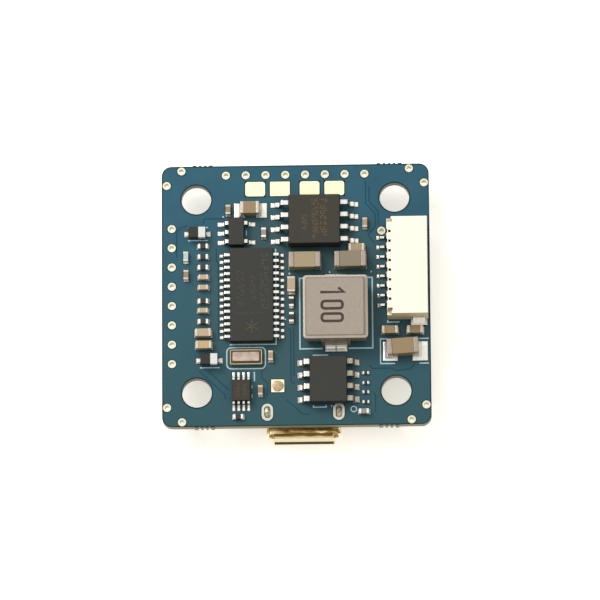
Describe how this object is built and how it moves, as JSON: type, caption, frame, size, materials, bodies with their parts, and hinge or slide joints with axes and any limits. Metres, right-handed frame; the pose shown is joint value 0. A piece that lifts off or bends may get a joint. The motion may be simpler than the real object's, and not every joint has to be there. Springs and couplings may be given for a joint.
{
  "type": "flight controller board",
  "caption": "Small square circuit board with corner bolt holes, surface-mounted chips, an inductor, a side-entry plug socket, an under-hung USB socket and a press button.",
  "frame": {"origin": "centre of the square of four mounting holes, on the board's under face", "axes": "+Z out of the upper face, along the mounting holes; +X towards the mouth of the side-entry plug socket; -Y towards the mouth of the USB socket"},
  "size_m": [0.027, 0.0282, 0.0068],
  "materials": {
    "black_plastic": "black moulded plastic",
    "ceramic_gold": "gold edged ceramic base",
    "ceramic_tan": "tan ceramic, satin",
    "copper": "enamelled copper wire",
    "core": "pressed grey-brown iron powder, matt",
    "gold": "gold plated copper, very pale",
    "gold_shell": "gold plated steel",
    "ivory": "ivory moulded plastic, satin",
    "led_lens": "milky greenish resin",
    "lid_metal": "warm grey metal lid",
    "mould": "black epoxy moulding, fine matt",
    "resistor_black": "black glass glaze",
    "solder_mask": "teal solder mask over glass-fibre board, semi gloss",
    "steel": "bright pressed steel",
    "tin": "bright tinned metal"
  },
  "bodies": {
    "board": {"amplifier_body": "mould", "amplifier_leads": "tin", "barometer_base": "solder_mask", "barometer_lid": "steel", "button_base": "black_plastic", "button_cover": "steel", "button_dome": "steel", "button_terminals": "tin", "circuit_board": "solder_mask", "clock_base": "ceramic_gold", "clock_lid": "lid_metal", "connector_contacts": "tin", "connector_housing": "ivory", "connector_tabs": "tin", "converter_chip_body": "mould", "converter_chip_leads": "tin", "crystal_base": "ceramic_gold", "crystal_lid": "lid_metal", "diode_bodies": "mould", "diode_leads": "tin", "flash_chip_body": "mould", "flash_chip_leads": "tin", "gyro_chip": "mould", "inductor_core": "core", "inductor_terminals": "tin", "inductor_winding": "copper", "large_capacitor_bodies": "ceramic_tan", "large_capacitor_ends": "tin", "logic_regulator_body": "mould", "logic_regulator_leads": "tin", "osd_chip_body": "mould", "osd_chip_leads": "tin", "plated_holes": "tin", "power_led": "led_lens", "power_led_ends": "tin", "power_pads": "gold", "processor_body": "mould", "processor_leads": "tin", "regulator_body": "mould", "regulator_leads": "tin", "resistor_bodies": "resistor_black", "resistor_ends": "tin", "small_capacitor_bodies": "ceramic_tan", "small_capacitor_ends": "tin", "status_led_ends": "tin", "status_leds": "led_lens", "test_pads": "gold", "under_pads": "tin", "underside_capacitor_bodies": "ceramic_tan", "underside_capacitor_ends": "tin", "underside_resistor_bodies": "resistor_black", "underside_resistor_ends": "tin", "upper_pads": "tin", "usb_contacts": "gold", "usb_shell": "gold_shell", "usb_tongue": "black_plastic"},
    "boot_button": {"button_plunger": "black_plastic"}
  },
  "joints": [
    {"name": "boot_button_press", "type": "slide", "parent": "board", "child": "boot_button", "axis": [0, 0, 1], "range_m": [0, 0.00025], "stiffness_N_per_m": 4000}
  ]
}
